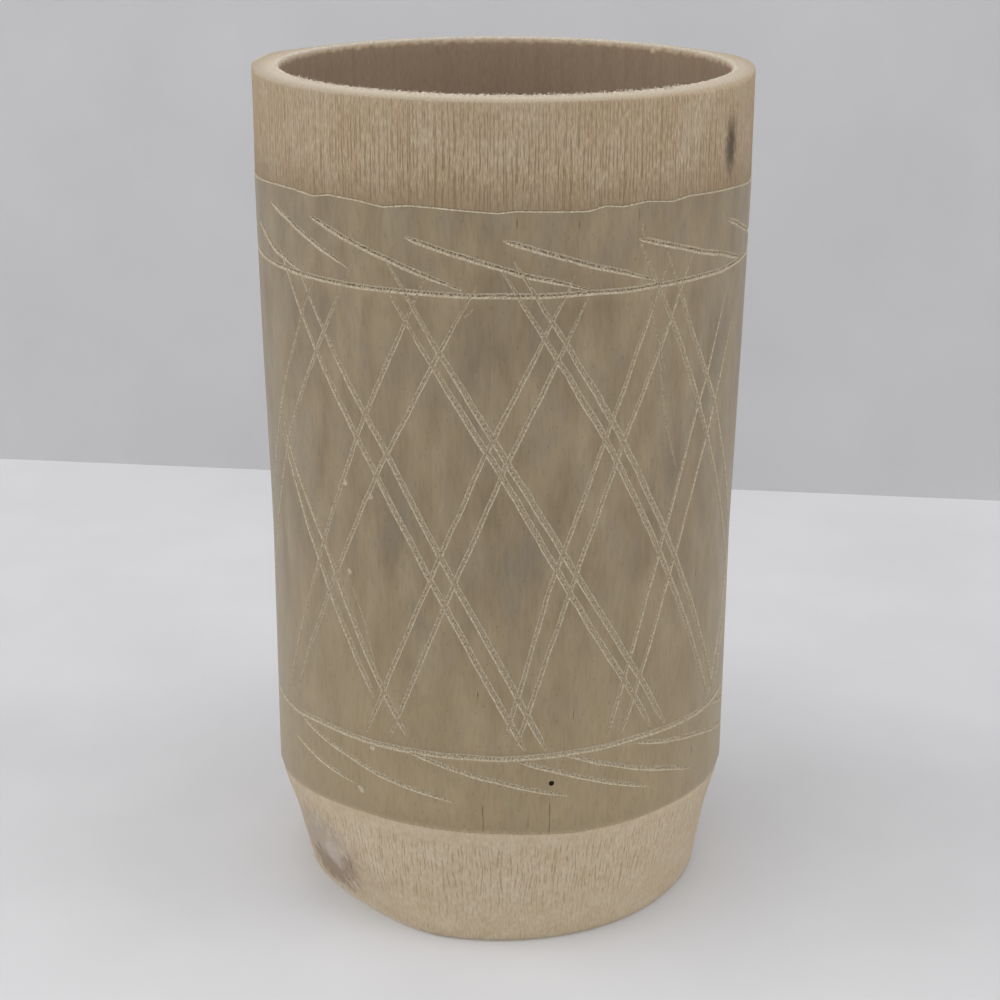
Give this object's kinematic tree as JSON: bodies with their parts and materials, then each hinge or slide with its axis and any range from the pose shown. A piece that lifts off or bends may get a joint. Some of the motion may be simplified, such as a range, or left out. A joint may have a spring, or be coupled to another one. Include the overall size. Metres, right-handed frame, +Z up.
{
  "type": "bamboo cup",
  "caption": "Straight-sided drinking cup cut from bamboo culm, with scraped pale bands at lip and foot and incised lines in the olive skin between them.",
  "frame": {"origin": "centre of the foot, on the surface that the cup stands on", "axes": "+Z up along the cup's axis; -Y faces the picture's camera"},
  "size_m": [0.0762, 0.0762, 0.1324],
  "materials": {
    "culm_fibre": "scraped bamboo fibre, matt",
    "rind": "dried bamboo skin, satin",
    "pith_lining": "brown pith layer, matt",
    "diaphragm": "bare bamboo cross wall, matt",
    "bud_wood": "cut bud knot, matt"
  },
  "bodies": {
    "root": {"culm_wall": "culm_fibre", "outer_rind": "rind", "inner_lining": "pith_lining", "floor_diaphragm": "diaphragm", "bud_scar": "bud_wood"}
  },
  "joints": []
}
